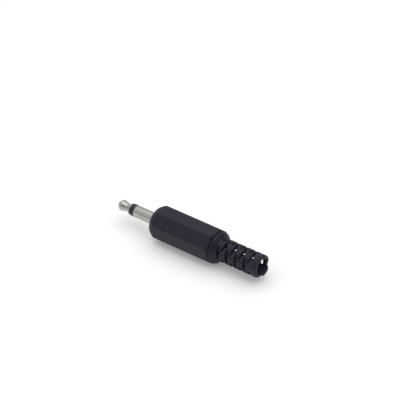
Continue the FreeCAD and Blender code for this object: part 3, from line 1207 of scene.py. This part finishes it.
    def outside(self) -> list[Point]:
        """Draws the turned blank of the hood, finely where it slopes and is cut by the flats.

        Returns:
            Its outline from the entry to the start of the relief.
        """
        longest, steep, fine_step = 2.5, 0.2, 0.05
        corner = self.half_flats / math.cos(math.radians(180.0 / self.sides))
        corners = [
            Corner(self.front, self.bore_radius + self.entry_chamfer),
            Corner(self.front, self.front_radius, self.front_round),
            Corner(self.front + self.front_chamfer, corner),
            Corner(self.grip_back - self.rear_chamfer, corner, self.rear_round),
            Corner(self.grip_back, self.groove_radius, self.groove_round),
            Corner(self.bead_front, self.groove_radius, self.groove_round),
            Corner(self.bead_front, self.bead_radius, self.bead_round),
            Corner(self.bead_back, self.bead_radius, self.shoulder_round),
            Corner(self.relief_front - self.root_inset, self.relief_radius, self.root_round),
            Corner(self.first_slot() - self.land_round, self.relief_radius),
        ]
        coarse = rounded_profile(corners, closed=False, longest=longest)
        fine: list[Point] = []
        for here, after in zip(coarse, coarse[1:]):
            ahead, rise = after[0] - here[0], abs(after[1] - here[1])
            sloped = min(ahead, rise) > steep and here[0] < self.grip_back
            fine += stepped(here, after, math.ceil(ahead / fine_step) if sloped else 1)
        return [*fine, coarse[-1]]

    def skin_radius(self, x: float, turned: float, angle: float) -> float:
        """Finds the outer skin, where the turned blank and the flats meet in a softened edge.

        Args:
            x: Place along the axis.
            turned: Radius of the turned blank there.
            angle: Angle round the axis, in degrees.

        Returns:
            The radius of the skin.
        """
        if x > self.grip_back - HAIR:
            return turned
        flat = self.octagon_radius(angle)
        near = max(self.blend_width - abs(turned - flat), 0.0) / self.blend_width
        return min(turned, flat) - near * near * self.blend_width / 4

    def inside(self) -> list[Point]:
        """Draws the bore, with enough points near the entry to carry the thread.

        Returns:
            Its outline from the entry back to the cable bore.
        """
        chamfer_back = self.front + self.entry_chamfer
        step = self.thread_pitch / self.thread_steps
        count = round((self.thread_end + self.thread_pitch - chamfer_back) / step)
        plain = [chamfer_back + step * index for index in range(count + 1)]
        plain += [self.cavity_middle, self.cavity_back]
        line = [(self.front, self.bore_radius + self.entry_chamfer)]
        line += [(x, self.bore_radius) for x in plain]
        return [*line, (self.cavity_back + self.cavity_taper, self.cable_radius)]

    def tapped(self, x: float, radius: float, angle: float) -> float:
        """Opens the bore by the thread's groove near the entry.

        Args:
            x: Place along the axis.
            radius: Radius of the plain outline there.
            angle: Angle round the axis, in degrees.

        Returns:
            The radius with the thread, and the plain radius away from the bore.
        """
        if abs(radius - self.bore_radius) >= HAIR:
            return radius
        turns = x / self.thread_pitch - angle / 360.0
        share = abs((turns % 1.0) * 2 - 1)
        cut = self.thread_depth * clamped((share - self.thread_crest) / self.thread_flank)
        behind_entry = clamped((x - self.front - self.entry_chamfer) / self.entry_fade)
        return self.bore_radius + cut * (clamped((self.thread_end - x) / self.thread_fade) * behind_entry)

    def rim(self, angle: float) -> list[Point]:
        """Draws the mouth's rounded rim, cut down where a notch passes.

        Args:
            angle: Angle round the axis, in degrees.

        Returns:
            Its outline from the skin to the bore.
        """
        mouth, skin, bore = self.mouth, self.relief_radius, self.cable_radius
        outer, inner = self.mouth_round, self.mouth_inner_round
        turns = [math.pi / 2 * index / self.rim_steps for index in range(self.rim_steps + 1)]
        bends = [(1 - math.cos(turn), 1 - math.sin(turn)) for turn in turns]
        line = [(mouth - outer * along, skin - outer * across) for across, along in bends]
        line += [(mouth - inner * along, bore + inner * across) for along, across in bends]
        line.append((mouth - outer, bore))
        limit = min(self.floor_radius(angle, cut) for cut in self.cuts() if cut.opens_mouth)
        kept: list[Point | None] = []
        for (x, r), (x_after, r_after) in zip(line, line[1:] + line[-1:]):
            if r <= limit + HAIR:
                kept.append((x, r))
            elif r_after < limit:
                share = (r - limit) / (r - r_after)
                kept.append((x + (x_after - x) * share, limit))
            else:
                kept.append(None)
        first = next((point for point in kept if point), line[-1])
        return [point or first for point in kept]

    def rim_floor(self, angle: float, notch: Cut) -> float:
        """Radius of a notch's floor at the rim, between the bore and the skin."""
        floor = self.floor_radius(angle, notch)
        return max(floor if floor < math.inf else self.relief_radius, self.cable_radius)

    def stations(self) -> list[float]:
        """Finds where the relief's rings lie: on both sides of every cut and along the rounding beyond them.

        Returns:
            Their places along the axis.
        """
        last = self.mouth - self.mouth_round
        stops = {last}
        turns = [math.pi / 2 * step / self.land_steps for step in range(self.land_steps + 1)]
        for cut in self.cuts():
            for away in (self.land_round * (1 - math.cos(turn)) for turn in turns):
                stops.update((round(cut.front - away, 6), round(cut.front + cut.width + away, 6)))
        return sorted(stop for stop in stops if stop < last + HAIR)

    def land_radius(self, x: float, angle: float) -> float:
        """Finds the relief's skin, drawn in where a land turns down into a cut.

        Args:
            x: Place along the axis.
            angle: Angle round the axis, in degrees.

        Returns:
            The radius of the skin.
        """
        drawn_in = 0.0
        for cut in self.cuts():
            depth = self.relief_radius - self.floor_radius(angle, cut)
            away = max(cut.front - x, x - cut.front - cut.width, 0.0)
            if depth >= HAIR and away < self.land_round:
                drop = self.land_round - math.sqrt(self.land_round**2 - (self.land_round - away) ** 2)
                drawn_in = max(drawn_in, drop * min(1.0, depth / (2 * self.land_round)))
        return self.relief_radius - drawn_in

    def cut_over(self, x: float, angle: float) -> Cut | None:
        """Finds the cut that passes over a place.

        Args:
            x: Place along the axis.
            angle: Angle round the axis, in degrees.

        Returns:
            The cut, or None between the cuts.
        """
        for cut in self.cuts():
            over = cut.front - HAIR < x < cut.front + cut.width + HAIR
            if over and self.floor_radius(angle, cut) < math.inf:
                return cut
        return None

    def build(self, finishes: Finishes) -> None:
        """Builds and dresses the hood."""
        finishes.dress(finished(HoodSkin(self).mesh(), self.slot_edge), "hood", Body.HOOD, Slot.HOOD)


class HoodSkin:
    """Lays the faces of the hood between lines along it and rings round it."""

    def __init__(self, hood: Hood) -> None:
        """Starts an empty skin.

        Args:
            hood: The hood whose sizes it follows.
        """
        self.hood = hood
        self.pairs = hood.angle_pairs()
        self.shape = bmesh.new()
        self.edge_weight = self.shape.edges.layers.float.new("bevel_weight_edge")
        self.known: dict[tuple[int, int, int], Vert] = {}
        self.softened: list[tuple[Vert, Vert]] = []
        self.lands: dict[Point, float] = {}

    def vert(self, x: float, radius: float, angle: float) -> Vert:
        """Finds the one vertex at a place on the skin.

        Args:
            x: Place along the axis.
            radius: Distance from the axis.
            angle: Angle in degrees from +Y toward +Z.

        Returns:
            The vertex, made the first time it is asked for.
        """
        told_apart_per_mm = 2e4
        turn = math.radians(angle)
        place = (x, radius * math.cos(turn), radius * math.sin(turn))
        key = tuple(round(value * told_apart_per_mm) for value in place)
        if key not in self.known:
            self.known[key] = self.shape.verts.new(place)
        return self.known[key]

    def land_vert(self, x: float, angle: float) -> Vert:
        """Finds the vertex of the relief's outer skin at a place.

        Args:
            x: Place along the axis.
            angle: Angle round the axis, in degrees.

        Returns:
            The vertex.
        """
        place = (round(x, 6), round(angle % 360.0, 6))
        if place not in self.lands:
            self.lands[place] = self.hood.land_radius(x, angle)
        return self.vert(x, self.lands[place], angle)

    def face(self, corners: list[Vert]) -> None:
        """Lays one face, leaving out corners that fall together.

        Args:
            corners: Its corners in order.
        """
        distinct = list(dict.fromkeys(corners))
        if len(distinct) > 2 and self.shape.faces.get(distinct) is None:
            self.shape.faces.new(distinct)

    def soften(self, first: Vert, second: Vert) -> None:
        """Marks an edge for rounding."""
        if first is not second:
            self.softened.append((first, second))

    def strip(self, here: list[Vert], after: list[Vert]) -> None:
        """Fills the space between two neighbouring lines of vertices."""
        for near in range(len(here) - 1):
            self.face([here[near], after[near], after[near + 1], here[near + 1]])

    def front_part(self) -> None:
        """Lays the outer skin from the entry to the relief, and the bore from the entry to the cable bore."""
        hood = self.hood
        outside, inside = hood.outside(), hood.inside()
        outer, inner = [], []
        for grip_angle, relief_angle in self.pairs:
            column = []
            for index, (x, turned) in enumerate(outside):
                share = clamped((x - hood.bead_front) / (hood.relief_front - hood.bead_front))
                angle = grip_angle + (relief_angle - grip_angle) * (share if index else 1.0)
                column.append(self.vert(x, hood.skin_radius(x, turned, angle), angle))
            outer.append(column)
            inner.append([self.vert(x, hood.tapped(x, r, relief_angle), relief_angle) for x, r in inside])
        for columns in (outer, inner):
            for here, after in zip(columns, columns[1:] + columns[:1]):
                self.strip(here, after)

    def relief_part(self) -> None:
        """Lays the relief: skin and bore with the cuts left open, and each cut's floor and side walls."""
        hood = self.hood
        stations = hood.stations()
        angles = [pair[1] for pair in self.pairs]
        for low, high in zip(angles, angles[1:] + angles[:1]):
            if high < low - 180.0:
                high += 360.0
            self.bore_face(hood.cavity_back + hood.cavity_taper, stations[0], low, high)
            for near, far in zip(stations, stations[1:]):
                self.cell(near, far, low, high)
            self.rim_cell(stations[-1], low, high)

    def bore_face(self, near: float, far: float, low: float, high: float) -> None:
        """Lays the cable bore's face between two rings and two lines."""
        places = ((near, low), (near, high), (far, high), (far, low))
        self.face([self.vert(x, self.hood.cable_radius, angle) for x, angle in places])

    def cell(self, near: float, far: float, low: float, high: float) -> None:
        """Lays one cell of the relief between two rings and two lines.

        Args:
            near: Ring toward the grip.
            far: Ring toward the mouth.
            low: Lower line's angle.
            high: Higher line's angle.
        """
        hood = self.hood
        cut = hood.cut_over((near + far) / 2, (low + high) / 2)
        places = ((near, low), (near, high), (far, high), (far, low))
        if cut is None:
            self.face([self.land_vert(x, angle) for x, angle in places])
            self.bore_face(near, far, low, high)
            return
        floors = {}
        for angle in (low, high):
            floors[angle] = max(cut.floor / math.cos(math.radians(angle - cut.angle)), hood.cable_radius)
        breaks_through = max(floors.values()) < hood.cable_radius + WELD
        if not breaks_through:
            self.face([self.vert(x, floors[angle], angle) for x, angle in places])
            self.bore_face(near, far, low, high)
        for x in (near, far):
            if cut.opens_mouth and x > cut.front + HAIR:
                continue
            top = [self.land_vert(x, angle) for angle in (low, high)]
            bottom = [self.vert(x, floors[angle], angle) for angle in (low, high)]
            self.face([*top, *reversed(bottom)])
            if breaks_through:
                self.soften(*bottom)
        for angle, floor in floors.items():
            if abs(floor - hood.relief_radius) < TOUCH:
                self.soften(*(self.vert(x, hood.relief_radius, angle) for x in (near, far)))

    def rim_cell(self, start: float, low: float, high: float) -> None:
        """Lays one slice of the mouth's rim.

        Args:
            start: Ring at which the rim's rounding begins.
            low: Lower line's angle.
            high: Higher line's angle.
        """
        hood = self.hood
        middle = (low + high) / 2
        notch = hood.cut_over(start + TOUCH, middle)
        if notch is not None and hood.floor_radius(middle, notch) < hood.cable_radius:
            return
        low_line = [self.vert(x, radius, low) for x, radius in hood.rim(low)]
        high_line = [self.vert(x, radius, high) for x, radius in hood.rim(high)]
        self.strip(low_line, high_line)
        if notch is not None:
            foot = [self.vert(start, hood.rim_floor(angle, notch), angle) for angle in (low, high)]
            self.face([*foot, high_line[0], low_line[0]])

    def mesh(self) -> bpy.types.Mesh:
        """Lays the whole skin and marks its edges.

        Returns:
            The mesh, in millimetres.
        """
        self.front_part()
        self.relief_part()
        for ends in self.softened:
            edge = self.shape.edges.get(ends)
            if edge is not None:
                edge[self.edge_weight] = 1.0
        loose = [vert for vert in self.shape.verts if not vert.link_faces]
        bmesh.ops.delete(self.shape, geom=loose, context="VERTS")
        open_edges = sum(1 for edge in self.shape.edges if len(edge.link_faces) != 2)
        LOG.info("hood skin: %d faces, %d open edges", len(self.shape.faces), open_edges)
        return meshed("hood_moulding", self.shape)


# Studio


@dataclass(frozen=True)
class Softbox:
    """One soft lamp."""

    name: str
    place: tuple[float, float, float]
    width: float
    power: float

    def hang(self, target: Vector) -> None:
        """Hangs the lamp.

        Args:
            target: The point that it faces, in metres.
        """
        lamp = bpy.data.lights.new(self.name, "AREA")
        lamp.shape = "SQUARE"
        lamp.size = self.width * MM
        lamp.energy = self.power
        held = placed(self.name, lamp)
        held.location = Vector(self.place) * MM
        held.rotation_mode = "QUATERNION"
        held.rotation_quaternion = (target - held.location).to_track_quat("-Z", "Y")


@dataclass
class Studio:
    """White paper, a soft lamp, the room's even light and the camera.

    The room's light goes from the tip side's strength to the outlet side's as its direction along the axis
    goes through side_range, which back_share turns a little, and it grows from the horizon to the zenith.
    """

    rest_height: float = -4.85
    paper_size: float = 3000.0
    paper_parts: int = 8
    tip_end: float = -14.0
    lit_place: float = 10.0
    axis_angle: float = 55.5
    camera_height_angle: float = 46.0
    fall: float = 23.97
    focal_pixels: float = 3550.0
    tip_distance: float = 1000.0
    tip_pixel: Point = (119.65, 203.62)
    frame_pixels: float = 400.0
    sensor_width: float = 36.0
    nearest_sight: float = 0.01
    tip_side_light: float = 0.94
    outlet_side_light: float = 0.10
    side_range: Point = (-0.85, 0.35)
    back_share: float = -0.02
    horizon_share: float = 0.60
    zenith_share: float = 1.09
    lamp: Softbox = Softbox("overhead_softbox", (160.0, 110.0, 620.0), 1100.0, 4.6)

    def lay_paper(self) -> None:
        """Lays the paper that the plug rests on."""
        shape = bmesh.new()
        parts = self.paper_parts
        bmesh.ops.create_grid(shape, x_segments=parts, y_segments=parts, size=self.paper_size * MM / 2)
        mesh = meshed("studio_floor", shape)
        mesh.materials.append(StudioPaper().material())
        paper = placed("studio_floor", mesh)
        paper.location.z = self.rest_height * MM

    def light(self) -> None:
        """Hangs the lamp and sets the room's even light."""
        world = bpy.data.worlds.new("studio_room")
        bpy.context.scene.world = world
        room = Wiring(world, "ShaderNodeBackground", "ShaderNodeOutputWorld")
        sight = room.add("ShaderNodeTexCoord").outputs["Generated"]
        facing = room.add("ShaderNodeSeparateXYZ", Vector=sight).outputs
        sideways = room.number("MULTIPLY_ADD", facing["Y"], self.back_share, facing["X"])
        strengths = (self.tip_side_light, self.outlet_side_light)
        wall = room.ramp(sideways, self.side_range, strengths, "SMOOTHSTEP")
        rise = room.ramp(facing["Z"], (0.0, 1.0), (self.horizon_share, self.zenith_share))
        room.fill(room.shader, Color=colour(1.0, 1.0, 1.0), Strength=room.number("MULTIPLY", wall, rise))
        self.lamp.hang(Vector((self.lit_place * MM, 0.0, 0.0)))

    def place_camera(self) -> None:
        """Places the camera so that the axis falls to the right as it does in the photograph."""
        along, up = math.radians(self.axis_angle), math.radians(self.camera_height_angle)
        back = Vector((math.cos(along), -math.sin(along) * math.cos(up), math.sin(along) * math.sin(up)))
        axis = Vector((1.0, 0.0, 0.0))
        across = (axis - back * axis.dot(back)).normalized()
        fall = math.radians(self.fall)
        right = across * math.cos(fall) + back.cross(across) * math.sin(fall)
        facing_tip = Matrix((right, back.cross(right), back)).transposed()
        middle, (column, row) = self.frame_pixels / 2, self.tip_pixel
        sight = Vector((column - middle, middle - row, -self.focal_pixels)).normalized()
        turn = (facing_tip @ sight).rotation_difference(-back).to_matrix()
        data = bpy.data.cameras.new("studio_camera")
        data.sensor_width = self.sensor_width
        data.lens = self.focal_pixels * self.sensor_width / self.frame_pixels
        data.clip_start = self.nearest_sight
        camera = placed("studio_camera", data)
        camera.location = Vector((self.tip_end * MM, 0.0, 0.0)) + back * self.tip_distance * MM
        camera.rotation_mode = "QUATERNION"
        camera.rotation_quaternion = (turn @ facing_tip).to_quaternion()
        bpy.context.scene.camera = camera

    def build(self) -> None:
        """Builds the whole studio."""
        self.lay_paper()
        self.light()
        self.place_camera()
        bpy.context.scene.view_settings.view_transform = "Standard"
        bpy.context.scene.view_settings.look = "None"


def main() -> None:
    """Builds every piece in order, dresses it and lights the scene."""
    logging.basicConfig(level=logging.INFO, format="%(message)s")
    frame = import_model()
    finishes = Finishes()
    for piece in (TipContact(), FrontInsulator(), SleeveBarrel(), RearInsulator()):
        piece.build(finishes)
    for node in ("tip_terminal", "ground_terminal"):
        StampedTag(node).build(frame, finishes)
    Hood().build(finishes)
    Studio().build()


if __name__ == "__main__":
    main()
